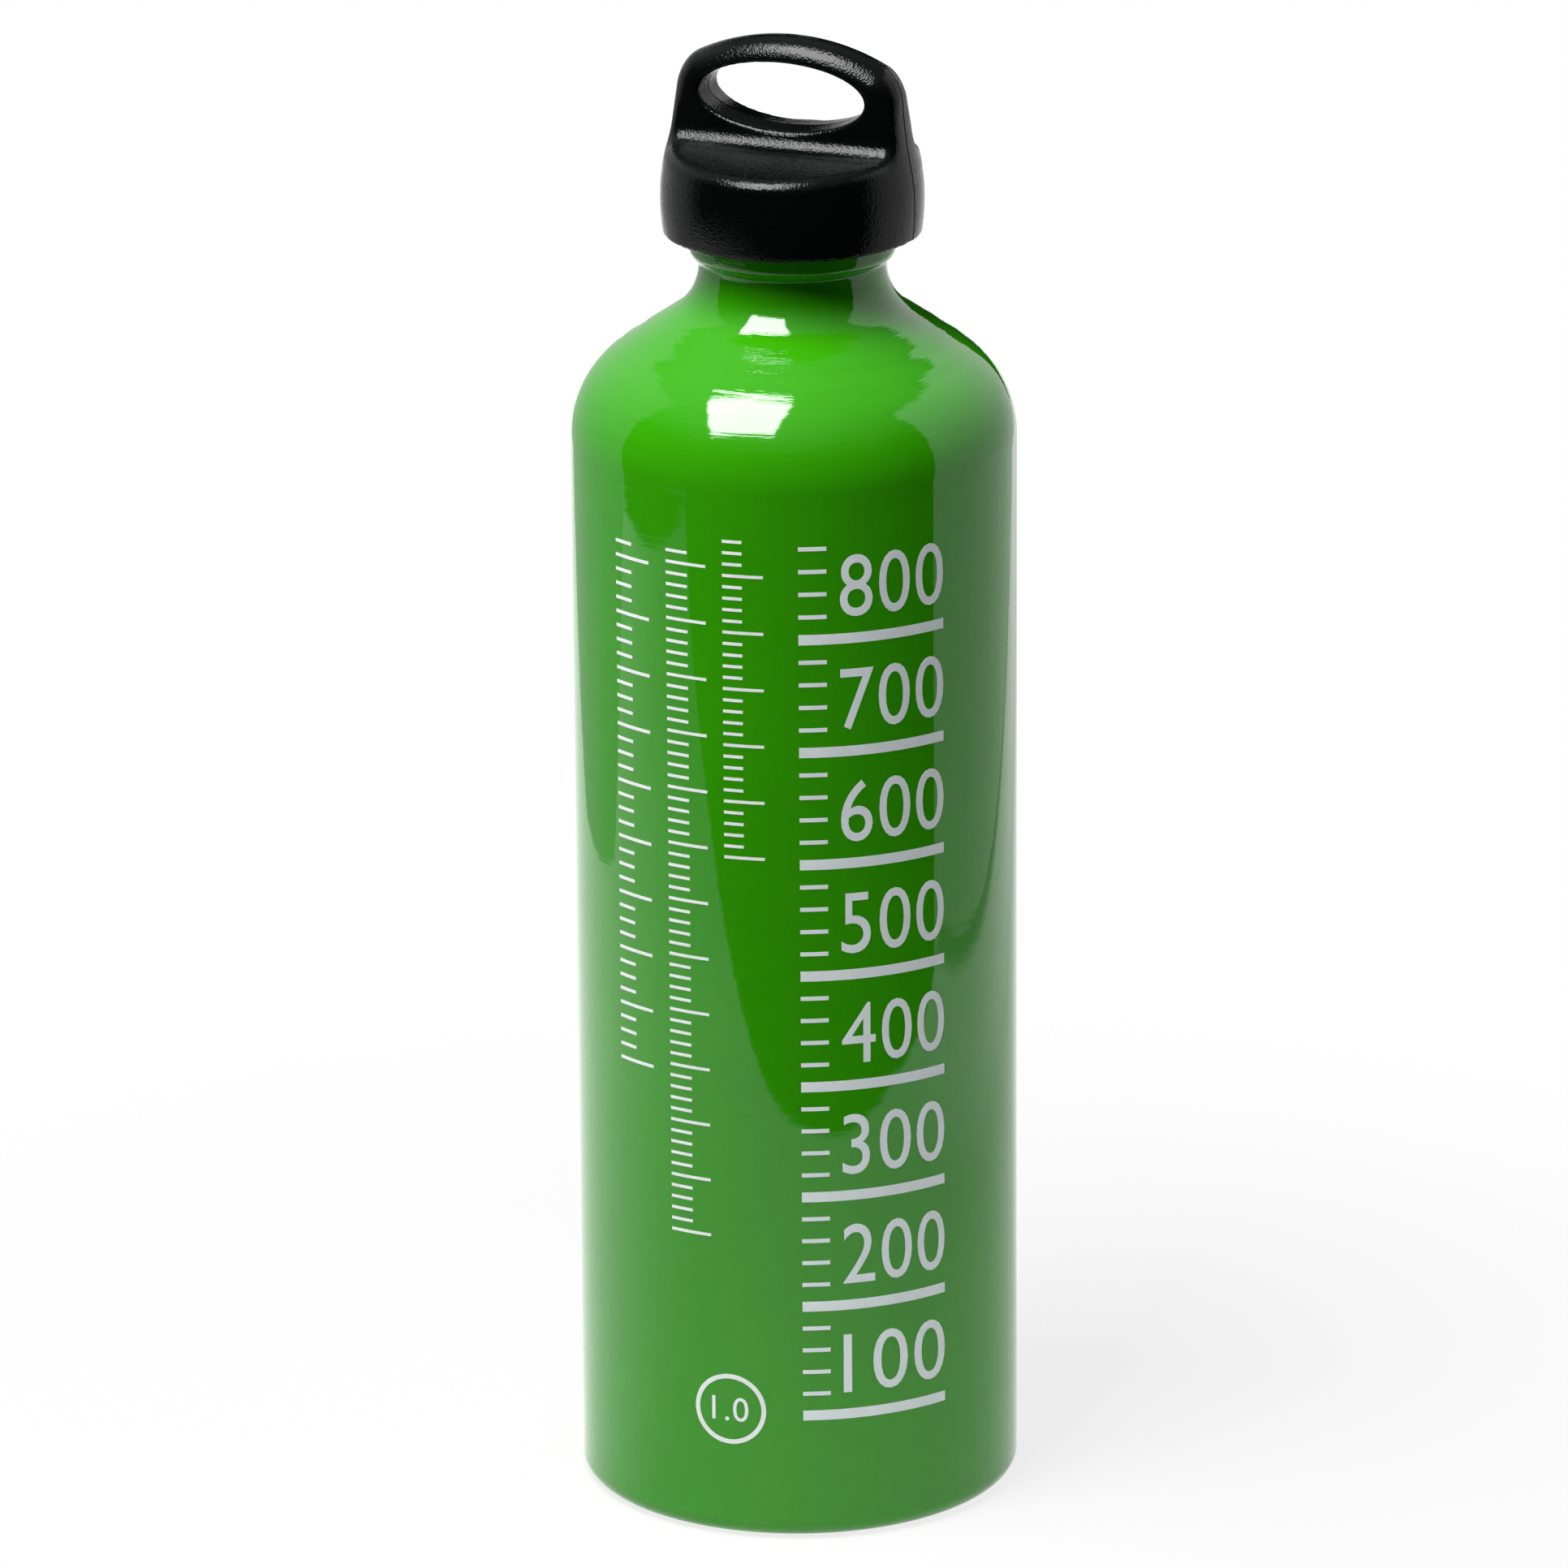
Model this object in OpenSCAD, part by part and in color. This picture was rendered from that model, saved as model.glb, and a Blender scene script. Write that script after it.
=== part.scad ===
// Camping fuel bottle: a drawn aluminium can with a push-and-turn screw cap.
// +Z is up, the origin is the middle of the standing ring, and the cap's handle lies along X.

/* [Bottle] */
// Outer diameter of the straight wall
body_d = 80; // [72:0.5:90]
// Height from the surface it stands on to the rim of the mouth
rim_z = 238.8; // [150:0.1:300]
// Thickness of the wall
wall_t = 1; // [0.8:0.1:1.5]
// Thickness of the base
base_t = 1.6; // [1:0.1:2.5]
// Radius of the rounded edge at the foot
foot_r = 3.5; // [2:0.1:5]
// Width of the flat ring that the bottle stands on
stand_w = 5; // [3:0.5:8]
// Height of the hollow dome under the base
dome_h = 6; // [3:0.5:10]
// Radius of the round at the top of the straight wall
shoulder_r = 19.2; // [14:0.1:22]
// Slope of the shoulder's cone above the horizontal, in degrees
cone_slope = 35.3; // [30:0.1:42]

/* [Neck] */
// Thickness of the neck at its waist, under the bead
neck_t = 2.75; // [2.3:0.05:3.4]
// Radius of the hollow curve from the shoulder to the waist
waist_r = 10.4; // [8:0.1:12]
// Thickness of the bead round the mouth
bead_t = 4.4; // [3.9:0.05:4.8]
// Height of the bead
bead_h = 9.5; // [8:0.1:10.5]
// Radius of the rounded edges of the bead
bead_edge_r = 1; // [0.5:0.1:1.4]
// Depth of the threaded bore
bore_h = 14.6; // [13:0.1:16]

/* [Thread] */
// Outer diameter of the plug's thread
thread_d = 27.6; // [26.5:0.1:28.2]
// Rise of the thread in one turn
pitch = 3; // [2.6:0.1:3.2]
// Height of the thread's ridge over its core
ridge_h = 1.5; // [1.2:0.1:1.6]
// Turns of the thread on the plug
plug_turns = 3.8; // [2:0.1:4]
// Turns of the thread in the neck
neck_turns = 3.2; // [2:0.1:3.4]
// Radial gap between the plug's thread and the neck
thread_clear = 0.3; // [0.2:0.05:0.4]

/* [Plug] */
// Length of the plug below the rim
plug_l = 13.8; // [12.4:0.1:14.2]
// How far the plug's flange reaches out past the bead
flange_over = 1.5; // [1:0.1:2]
// Thickness of the flange
flange_t = 2.3; // [1.8:0.1:2.8]
// Thickness of the plug's wall and floor
plug_t = 2.2; // [1.6:0.1:2.6]
// Width of the vent slot down the thread
vent_w = 3.5; // [2:0.1:5]
// Number of drive lugs on the plug, and of drive teeth in the cap
lugs = 6; // [4:1:8]
// Width of a lug
lug_w = 4; // [3:0.1:4.5]
// Length of a lug, outwards
lug_l = 5; // [3:0.1:5.5]
// Height of a lug
lug_h = 1.7; // [1.2:0.1:1.9]

/* [Seal] */
// Thickness of the sealing ring
seal_t = 1.2; // [1:0.1:2]
// Width of the sealing ring
seal_w = 3.2; // [2.6:0.1:3.6]

/* [Cap] */
// Greatest thickness of the collar's wall
collar_t = 3.25; // [2.4:0.05:4]
// How far the collar draws in from its middle to its lower edge
collar_bulge = 0.45; // [0.1:0.05:0.8]
// Height of the collar's lower edge below the rim
skirt_drop = 4.3; // [3.4:0.1:6]
// Height of the flared part of the collar, up to where it starts to draw in
collar_h = 12; // [11:0.1:13]
// How far the ledge falls from the handle to the edge of the collar
ledge_fall = 1.5; // [0.5:0.1:2]
// Thickness of the roof over the plug, at its edge
roof_t = 2.3; // [1.8:0.1:3]
// Radius of the corner where the handle meets the ledge
ledge_r = 2; // [1:0.1:3]
// Radius of the rounded lower edge of the collar
skirt_edge_r = 0.7; // [0.3:0.1:1]
// How far the cap moves down when it is pushed
push_travel = 2; // [1.8:0.1:2.4]
// Gap between the plug's flange and the collar around it
guide_clear = 0.3; // [0.2:0.05:0.5]
// How far the retaining ring in the collar reaches under the flange
snap_w = 1; // [0.6:0.1:1.1]
// Height of the retaining ring
snap_h = 1.6; // [1:0.1:2]

/* [Handle] */
// Height from the ledge to the top of the handle
handle_h = 19.9; // [18:0.1:24]
// Height of the straight part of the handle's ends, below its top
end_h = 7.5; // [6:0.1:9]
// How far the ends of the handle lie in from the widest part of the collar
handle_in = 2.35; // [1:0.05:3.5]
// Thickness of the handle
handle_t = 9.7; // [8:0.1:12]
// Radius of the arch over the top
arch_r = 40; // [34:0.5:60]
// Radius of the corner between the arch and the ends
corner_r = 3.5; // [2:0.1:4.5]
// Length of the oval hole
hole_l = 31; // [24:0.1:33]
// Height of the oval hole
hole_h = 12.4; // [9:0.1:13]
// Height from the ledge to the middle of the hole
hole_rise = 9.6; // [8.6:0.1:10.4]

/* [Spring] */
// Outer diameter of the spring
spring_d = 16; // [13:0.1:17]
// Thickness of the spring's wire
wire_d = 1.2; // [0.8:0.1:1.4]
// Turns of the spring
spring_turns = 5; // [3:0.5:6]

/* [Hidden] */
$fn = 72;
eps = 0.01;
paint_green = [0.18, 0.56, 0.16];
cap_black = [0.10, 0.10, 0.11];
plug_grey = [0.30, 0.30, 0.32];

body_r = body_d / 2;
neck_bore_r = thread_d / 2 + thread_clear;
neck_r = neck_bore_r + neck_t;
bead_r = neck_bore_r + bead_t;
waist_gap = 0.9;
waist_z = rim_z - bead_h - waist_gap;
stand_r = body_r - foot_r - stand_w;

// A ridge stands on a core, and the neck's ridge fills the space between two ridges of the plug
core_r = thread_d / 2 - ridge_h;
crest_clear = 0.5;
neck_crest_r = core_r + crest_clear;
ridge_root_w = 0.62 * pitch;
ridge_crest_w = 0.29 * pitch;
ridge_sink = 0.3;
ridge_steps = 24;
fade_steps = 6;
fade_start = 0.4;
thread_margin = 0.2;
vent_margin = 0.05;

// Everything in the closure stacks up from the rim
flange_z = rim_z + seal_t;
flange_top = flange_z + flange_t;
seat_gap = 0.3;
roof_z = flange_top + lug_h + push_travel + seat_gap;
plug_z = rim_z - plug_l;
plug_hollow_r = core_r - plug_t;
// The plug's ridge starts here, and the neck's ridge half a pitch above it
thread_low_z = plug_z + ridge_root_w / 2 + thread_margin;
lug_inset = 3;
flange_r = bead_r + flange_over;
lug_out = flange_r - lug_inset;
seal_inset = 0.8;
seal_out = bead_r - seal_inset;

skirt_z = rim_z - skirt_drop;
ledge_z = roof_z + roof_t + ledge_fall;
cavity_r = flange_r + guide_clear;
collar_r = cavity_r + collar_t;
handle_r = collar_r - handle_in;
snap_top = flange_z - seat_gap;
handle_z = ledge_z + handle_h;
bell_h = handle_z - skirt_z;
hole_z = ledge_z + hole_rise;
arch_z = handle_z - arch_r;
socket_gap = 0.3;
socket_t = 1.2;
// How quickly the bell draws in over the collar
flare_power = 1.7;
// The outline of the handle stands a little inside its round ends
end_inset = 0.15;

// Points of an arc in a plane, from one angle to another
function arc(x, y, r, a0, a1, n) =
    [for (i = [0:n]) let (a = a0 + (a1 - a0) * i / n) [x + r * cos(a), y + r * sin(a)]];

// The shoulder's cone touches the round above the wall and the hollow curve of the waist
cone_a = 90 - cone_slope;
waist_c = [neck_r + waist_r, waist_z];
shoulder_x = body_r - shoulder_r;
shoulder_z = waist_z - (shoulder_r + waist_r - (waist_c[0] - shoulder_x) * cos(cone_a)) / sin(cone_a);

// Half profile of the outside, from the middle of the base to the bead's upper edge
dome_r = (pow(stand_r, 2) + pow(dome_h, 2)) / (2 * dome_h);
dome_a = asin(stand_r / dome_r);
function outside() = concat(
    arc(0, dome_h - dome_r, dome_r, 90, 90 - dome_a, 8),
    arc(body_r - foot_r, foot_r, foot_r, -90, 0, 6),
    arc(shoulder_x, shoulder_z, shoulder_r, 0, cone_a, 12),
    arc(waist_c[0], waist_c[1], waist_r, 180 + cone_a, 180, 10),
    [[neck_r, rim_z - bead_h]],
    arc(bead_r - bead_edge_r, rim_z - bead_h + bead_edge_r, bead_edge_r, -60, 0, 3),
    arc(bead_r - bead_edge_r, rim_z - bead_edge_r, bead_edge_r, 0, 90, 4));

// Half profile of the space inside, from the mouth back to the middle of the base
inner_foot_r = foot_r - wall_t;
function inside() = concat(
    [[neck_bore_r, rim_z], [neck_bore_r, rim_z - bore_h]],
    arc(shoulder_x, shoulder_z, shoulder_r - wall_t, cone_a, 0, 12),
    arc(body_r - wall_t - inner_foot_r, base_t + inner_foot_r, inner_foot_r, 0, -90, 5),
    [[stand_r, base_t]],
    arc(0, dome_h - dome_r + base_t, dome_r, 90 - dome_a, 90, 8));

// One cross-section of a thread ridge, which fades into its core at both ends
function ridge_section(sink_r, crest_r, a, z, grow) =
    let (tip_r = sink_r + (crest_r - sink_r) * grow,
        root = ridge_root_w / 2, tip = root + (ridge_crest_w / 2 - root) * grow)
    [for (p = [[sink_r, -root], [tip_r, -tip], [tip_r, tip], [sink_r, root]])
        [p[0] * cos(a), p[0] * sin(a), z + p[1]]];

// A loop of rings of points as a closed tube of triangles
module skin(rings, flip = false) {
    m = len(rings[0]);
    last = (len(rings) - 1) * m;
    sides = [for (i = [0:len(rings) - 2], j = [0:m - 1]) let (k = (j + 1) % m, a = i * m, b = a + m)
        each [[a + j, a + k, b + k], [a + j, b + k, b + j]]];
    ends = [for (j = [1:m - 2]) each [[0, j + 1, j], [last, last + j, last + j + 1]]];
    faces = concat(sides, ends);
    polyhedron(points = [for (r = rings) each r],
        faces = flip ? [for (f = faces) [f[2], f[1], f[0]]] : faces);
}

// A right-hand ridge on a core, from the height of its middle line at the start
module ridge(core, crest, z0, turns) {
    outward = crest > core;
    steps = round(turns * ridge_steps);
    rings = [for (i = [0:steps]) let (grow = min(1, (min(i, steps - i) + fade_start) / fade_steps))
        ridge_section(core + (outward ? -ridge_sink : ridge_sink), crest,
            360 * i / ridge_steps, z0 + pitch * i / ridge_steps, grow)];
    skin(rings, flip = !outward);
}

// A drive lug or tooth, standing on the plane at its height
module lug(z, h) {
    translate([lug_out - lug_l, -lug_w / 2, z]) cube([lug_l, lug_w, h]);
}

module bottle_shell() {
    color(paint_green) {
        rotate_extrude() polygon(concat(outside(), inside()));
        ridge(neck_bore_r, neck_crest_r, thread_low_z + pitch / 2, neck_turns);
    }
}

module threaded_plug() {
    color(plug_grey) difference() {
        union() {
            rotate_extrude() polygon([[0, plug_z], [core_r, plug_z], [core_r, flange_z],
                [flange_r, flange_z], [flange_r, flange_top], [0, flange_top]]);
            for (i = [0:lugs - 1]) rotate(360 / lugs * i) lug(flange_top - eps, lug_h + eps);
            ridge(core_r, thread_d / 2, thread_low_z, plug_turns);
        }
        translate([0, 0, plug_z + plug_t]) cylinder(r = plug_hollow_r, h = flange_top);
        for (turn = [0, 180]) rotate(turn)
            translate([-vent_w / 2, core_r + vent_margin, plug_z - 1]) cube([vent_w, ridge_h, plug_l]);
    }
}

module sealing_ring() {
    color([0.05, 0.05, 0.05]) translate([0, 0, rim_z]) difference() {
        cylinder(r = seal_out, h = seal_t);
        translate([0, 0, -1]) cylinder(r = seal_out - seal_w, h = seal_t + 2);
    }
}

// The spring stands on the plug's floor and reaches the cap's roof
spring_low = plug_z + plug_t + wire_d / 2;
spring_high = roof_z - wire_d / 2;
spring_steps = 20;
// The end turns lie flat for this share of a turn
flat_turn = 0.5;
climb_turns = spring_turns - 2 * flat_turn;
function spring_height(t) =
    spring_low + (spring_high - spring_low) * min(1, max(0, (t - flat_turn) / climb_turns));
function spring_ring(t) = let (r = spring_d / 2 - wire_d / 2)
    [for (j = [0:5]) let (q = r + wire_d / 2 * cos(60 * j))
        [q * cos(360 * t), q * sin(360 * t), spring_height(t) + wire_d / 2 * sin(60 * j)]];
// The wire comes closest to itself at an end, where it starts and where it has gone round once
spring_gap = spring_height(1) - spring_height(0) - wire_d;

module return_spring() {
    echo(least_gap_between_turns = spring_gap);
    color([0.72, 0.72, 0.74])
        skin([for (i = [0:round(spring_turns * spring_steps)]) spring_ring(i / spring_steps)]);
}

// Radius of the cap's round outside at a height above its lower edge
function bell_r(h) = h < collar_h
    ? collar_r - collar_bulge * pow((h - collar_h / 2) / (collar_h / 2), 2)
    : let (t = min(1, (h - collar_h) / (bell_h - end_h - collar_h)))
        handle_r + (collar_r - collar_bulge - handle_r) * pow(1 - t, flare_power);

module bell() {
    sides = [for (i = [0:24]) let (h = skirt_edge_r + (bell_h + 1 - skirt_edge_r) * i / 24)
        [bell_r(h), skirt_z + h]];
    edge_x = bell_r(skirt_edge_r) - skirt_edge_r;
    edge = arc(edge_x, skirt_z + skirt_edge_r, skirt_edge_r, -90, -15, 4);
    rotate_extrude() polygon(concat([[0, skirt_z]], edge, sides, [[0, handle_z + 1]]));
}

// Outline of the handle, seen along Y: the arch, its rounded corners and the flared sides below
module handle_outline() {
    end_x = handle_r - end_inset;
    corner_x = end_x - corner_r;
    corner_z = arch_z + sqrt(pow(arch_r - corner_r, 2) - pow(corner_x, 2));
    side_a = atan2(corner_z - arch_z, corner_x);
    half = concat(arc(corner_x, corner_z, corner_r, 0, side_a, 6), arc(0, arch_z, arch_r, side_a, 90, 10));
    polygon(concat([[collar_r + 2, skirt_z - 1]], half,
        [for (i = [len(half) - 2:-1:0]) [-half[i][0], half[i][1]]], [[-collar_r - 2, skirt_z - 1]]));
}

// The space beside the handle, seen along X, with its round foot and its sloping ledge
module side_cut() {
    face_y = handle_t / 2;
    foot_z = ledge_z + ledge_r;
    rotate([90, 0, 90]) linear_extrude(height = 2 * collar_r + 2, center = true)
        polygon(concat([[face_y, handle_z + 2]], arc(face_y + ledge_r, foot_z, ledge_r, 180, 265, 6),
            [[collar_r + 1, ledge_z - ledge_fall], [collar_r + 1, handle_z + 2]]));
}

module cap_shell() {
    oval = [for (i = [0:47]) [hole_l / 2 * cos(7.5 * i), hole_z + hole_h / 2 * sin(7.5 * i)]];
    snap_r = cavity_r - snap_w;
    across = 2 * collar_r + 4;
    snap_mid = snap_top - snap_h / 2;
    root_r = cavity_r + 0.5;
    color(cap_black) {
        difference() {
            intersection() {
                bell();
                rotate([90, 0, 0]) linear_extrude(height = across, center = true) handle_outline();
            }
            for (turn = [0, 180]) rotate(turn) side_cut();
            rotate([90, 0, 0]) linear_extrude(height = across, center = true) polygon(oval);
            translate([0, 0, skirt_z - 1]) cylinder(r = cavity_r, h = roof_z - skirt_z + 1);
        }
        // The retaining ring under the flange has a slope on its lower side
        rotate_extrude() polygon([[root_r, snap_top], [snap_r, snap_top], [snap_r, snap_mid],
            [cavity_r, snap_top - snap_h], [root_r, snap_top - snap_h]]);
        for (i = [0:lugs - 1]) rotate(360 / lugs * (i + 0.5)) lug(roof_z - lug_h, lug_h + eps);
        // The socket that keeps the spring's upper end in the middle
        translate([0, 0, roof_z - lug_h]) difference() {
            cylinder(d = spring_d + 2 * (socket_gap + socket_t), h = lug_h + eps);
            translate([0, 0, -1]) cylinder(d = spring_d + 2 * socket_gap, h = lug_h + 1);
        }
    }
}

bottle_shell();
threaded_plug();
sealing_ring();
return_spring();
cap_shell();
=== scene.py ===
import math
import bpy
import bmesh
import numpy as np
from mathutils import Matrix, Vector


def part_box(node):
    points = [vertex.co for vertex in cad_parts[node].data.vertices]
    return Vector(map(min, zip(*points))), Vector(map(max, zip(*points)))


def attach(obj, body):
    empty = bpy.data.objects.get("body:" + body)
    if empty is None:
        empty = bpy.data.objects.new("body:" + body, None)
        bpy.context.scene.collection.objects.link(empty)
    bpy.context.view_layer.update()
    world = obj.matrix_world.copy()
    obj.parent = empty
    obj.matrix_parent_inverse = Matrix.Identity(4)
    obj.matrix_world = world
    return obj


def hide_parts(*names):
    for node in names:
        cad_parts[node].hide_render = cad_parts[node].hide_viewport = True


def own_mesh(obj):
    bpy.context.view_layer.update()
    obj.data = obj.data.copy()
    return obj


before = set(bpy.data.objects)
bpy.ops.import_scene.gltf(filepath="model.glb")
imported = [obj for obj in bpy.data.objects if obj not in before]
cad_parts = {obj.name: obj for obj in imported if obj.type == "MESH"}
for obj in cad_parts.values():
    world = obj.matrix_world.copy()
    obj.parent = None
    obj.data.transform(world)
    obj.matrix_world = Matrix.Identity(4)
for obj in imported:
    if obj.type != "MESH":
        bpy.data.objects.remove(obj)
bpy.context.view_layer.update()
mm = 0.001

# Camera: where the photograph was taken from, in degrees, metres and pixels of its 1932 frame
view = {
    "frameSize": 1932,
    "azimuth": 22.0,      # the camera stands this far round the bottle from the front of the handle
    "distance": 1.998,    # level distance from the bottle's axis
    "height": 0.781,
    "pitch": 18.03,
    "roll": 0.364,
    "focalPixels": 14335,
    "centreShift": 14.5,  # the bottle stands this far right of the middle of the lens
}


def makeCamera():
    data = bpy.data.cameras.new("camera")
    data.sensor_width = 36.0
    data.lens = data.sensor_width * view["focalPixels"] / view["frameSize"]
    data.shift_x = -view["centreShift"] / view["frameSize"]
    data.clip_start, data.clip_end = 0.05, 50
    cam = bpy.data.objects.new("camera", data)
    bpy.context.collection.objects.link(cam)
    az, pitch, roll = (math.radians(view[k]) for k in ("azimuth", "pitch", "roll"))
    forward = Vector((-math.sin(az) * math.cos(pitch), math.cos(az) * math.cos(pitch), -math.sin(pitch)))
    level = Vector((math.cos(az), math.sin(az), 0))
    top = level.cross(forward)
    right = level * math.cos(roll) - top * math.sin(roll)
    up = top * math.cos(roll) + level * math.sin(roll)
    place = Vector((view["distance"] * math.sin(az), -view["distance"] * math.cos(az), view["height"]))
    turn = Matrix((right, up, -forward)).transposed().to_4x4()
    cam.matrix_world = Matrix.Translation(place) @ turn
    bpy.context.scene.camera = cam
    return cam


camera = makeCamera()
print("camera set")


# Small helpers for meshes
def newPiece(name, verts, faces, materials=(), smoothAngle=None, scale=mm):
    mesh = bpy.data.meshes.new(name)
    mesh.from_pydata((np.asarray(verts, float) * scale).tolist(), [], faces)
    for material in materials:
        mesh.materials.append(material)
    mesh.shade_smooth()
    if smoothAngle is not None:
        mesh.set_sharp_from_angle(angle=math.radians(smoothAngle))
    piece = bpy.data.objects.new(name, mesh)
    bpy.context.collection.objects.link(piece)
    return piece


def arc(x, z, radius, start, end, steps):
    angles = np.radians(np.linspace(start, end, steps + 1))
    return [(x + radius * math.cos(a), z + radius * math.sin(a)) for a in angles]


def lathe(profile, turns):
    # A profile of (radius, height) from pole to pole, or a closed loop when no radius is zero
    closed = profile[0][0] > 1e-6
    points = profile if closed else profile[1:-1]
    angles = np.arange(turns) * 2 * math.pi / turns
    verts = [(r * math.cos(a), r * math.sin(a), z) for r, z in points for a in angles]
    faces = []
    rows = len(points)
    for i in range(rows if closed else rows - 1):
        a, b = i * turns, (i + 1) % rows * turns
        faces += [(a + j, a + (j + 1) % turns, b + (j + 1) % turns, b + j) for j in range(turns)]
    if not closed:
        verts += [(0, 0, profile[0][1]), (0, 0, profile[-1][1])]
        last = (rows - 1) * turns
        faces += [(len(verts) - 2, (j + 1) % turns, j) for j in range(turns)]
        faces += [(len(verts) - 1, last + j, last + (j + 1) % turns) for j in range(turns)]
    return verts, faces


# Small helpers for node materials
class Nodes:
    def __init__(self, name):
        self.material = bpy.data.materials.new(name)
        self.material.use_nodes = True
        self.tree = self.material.node_tree
        self.shader = self.tree.nodes["Principled BSDF"]

    def add(self, kind, settings=None, **inputs):
        node = self.tree.nodes.new("ShaderNode" + kind)
        for key, value in (settings or {}).items():
            setattr(node, key, value)
        for key, value in inputs.items():
            self.feed(node.inputs[int(key[1:]) if key[0] == "i" and key[1:].isdigit() else key.replace("_", " ")], value)
        return node

    def feed(self, socket, value):
        if isinstance(value, bpy.types.NodeSocket):
            self.tree.links.new(value, socket)
        else:
            socket.default_value = value

    def math(self, operation, a, b=0.0):
        return self.add("Math", {"operation": operation}, i0=a, i1=b).outputs[0]

    def noise(self, vector, scale, detail=3.0, rough=0.5):
        return self.add("TexNoise", None, Vector=vector, Scale=scale, Detail=detail, Roughness=rough).outputs["Fac"]

    def ramp(self, fac, stops):
        node = self.add("ValToRGB", None, Fac=fac)
        ramp = node.color_ramp
        for i, (place, colour) in enumerate(stops):
            stop = ramp.elements[i] if i < 2 else ramp.elements.new(place)
            stop.position = place
            stop.color = colour if len(colour) == 4 else (*colour, 1)
        return node.outputs["Color"]

    def bump(self, height, strength, distance, normal=None):
        node = self.add("Bump", None, Strength=strength, Distance=distance, Height=height)
        if normal is not None:
            self.feed(node.inputs["Normal"], normal)
        return node.outputs["Normal"]

    def surface(self, **values):
        for key, value in values.items():
            self.feed(self.shader.inputs[key.replace("_", " ")], value)


# Green enamel: gloss coat over a drawn wall, with the spinning marks of the shoulder
paint = {
    "colour": (0.033, 0.315, 0.0022, 1),
    "deepColour": (0.029, 0.295, 0.0018, 1),
    "roughness": 0.45,
    "coatRoughness": 0.03,
    "shoulderFrom": 0.203, "shoulderTo": 0.232,
}


def makePaint():
    n = Nodes("green_enamel")
    place = n.add("TexCoord").outputs["Object"]
    axes = n.add("SeparateXYZ", None, Vector=place).outputs
    angle = n.math("ARCTAN2", axes["Y"], axes["X"])
    height = axes["Z"]
    # Rings left by spinning the shoulder: fine along the height, long round the turn
    rings = n.add("CombineXYZ", None, X=n.math("MULTIPLY", angle, 1.6), Y=n.math("MULTIPLY", height, 900.0), Z=0.0)
    ringNoise = n.noise(rings.outputs[0], 1.0, 4.0, 0.6)
    waves = n.add("CombineXYZ", None, X=n.math("MULTIPLY", angle, 1.1), Y=n.math("MULTIPLY", height, 190.0), Z=3.0)
    waveNoise = n.noise(waves.outputs[0], 1.0, 2.0, 0.5)
    band = n.add("MapRange", {"interpolation_type": "SMOOTHSTEP"}, Value=height, i1=paint["shoulderFrom"] - 0.012,
                 i2=paint["shoulderFrom"] + 0.008, i3=0.05, i4=1.0).outputs[0]
    marks = n.math("MULTIPLY", n.math("ADD", n.math("MULTIPLY", ringNoise, 0.35), waveNoise), band)
    orange = n.noise(place, 520.0, 2.0, 0.4)
    drawn = n.bump(marks, 0.8, 0.00020)
    peel = n.bump(orange, 0.06, 0.00004, drawn)
    mottled = n.noise(place, 22.0, 3.0, 0.5)
    tint = n.ramp(mottled, [(0.35, paint["deepColour"]), (0.65, paint["colour"])])
    speck = n.noise(place, 1500.0, 2.0, 0.5)
    rough = n.math("ADD", n.math("MULTIPLY", speck, 0.06), paint["roughness"] - 0.03)
    n.surface(Base_Color=tint, Roughness=rough, Normal=peel, Coat_Weight=1.0,
              Coat_Roughness=paint["coatRoughness"], Coat_IOR=1.48, Specular_IOR_Level=0.0)
    n.feed(n.shader.inputs["Coat Normal"], peel)
    return n.material


def makeAluminium():
    n = Nodes("bare_aluminium")
    place = n.add("TexCoord").outputs["Object"]
    axes = n.add("SeparateXYZ", None, Vector=place).outputs
    angle = n.math("ARCTAN2", axes["Y"], axes["X"])
    lines = n.add("CombineXYZ", None, X=n.math("MULTIPLY", angle, 2.0), Y=n.math("MULTIPLY", axes["Z"], 3000.0), Z=0.0)
    turned = n.noise(lines.outputs[0], 1.0, 4.0, 0.6)
    tint = n.ramp(turned, [(0.3, (0.62, 0.63, 0.64)), (0.7, (0.80, 0.81, 0.82))])
    n.surface(Base_Color=tint, Metallic=1.0, Roughness=n.math("ADD", n.math("MULTIPLY", turned, 0.15), 0.24),
              Normal=n.bump(turned, 0.25, 0.00005))
    return n.material


# Black moulding: a fine spark-eroded grain that glints where light falls along it
plastic = {"colour": (0.0012, 0.0020, 0.0016, 1), "roughness": 0.15, "grainScale": 1500.0,
           "lineHalf": 0.00032, "lineHeight": 0.00014}


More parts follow.
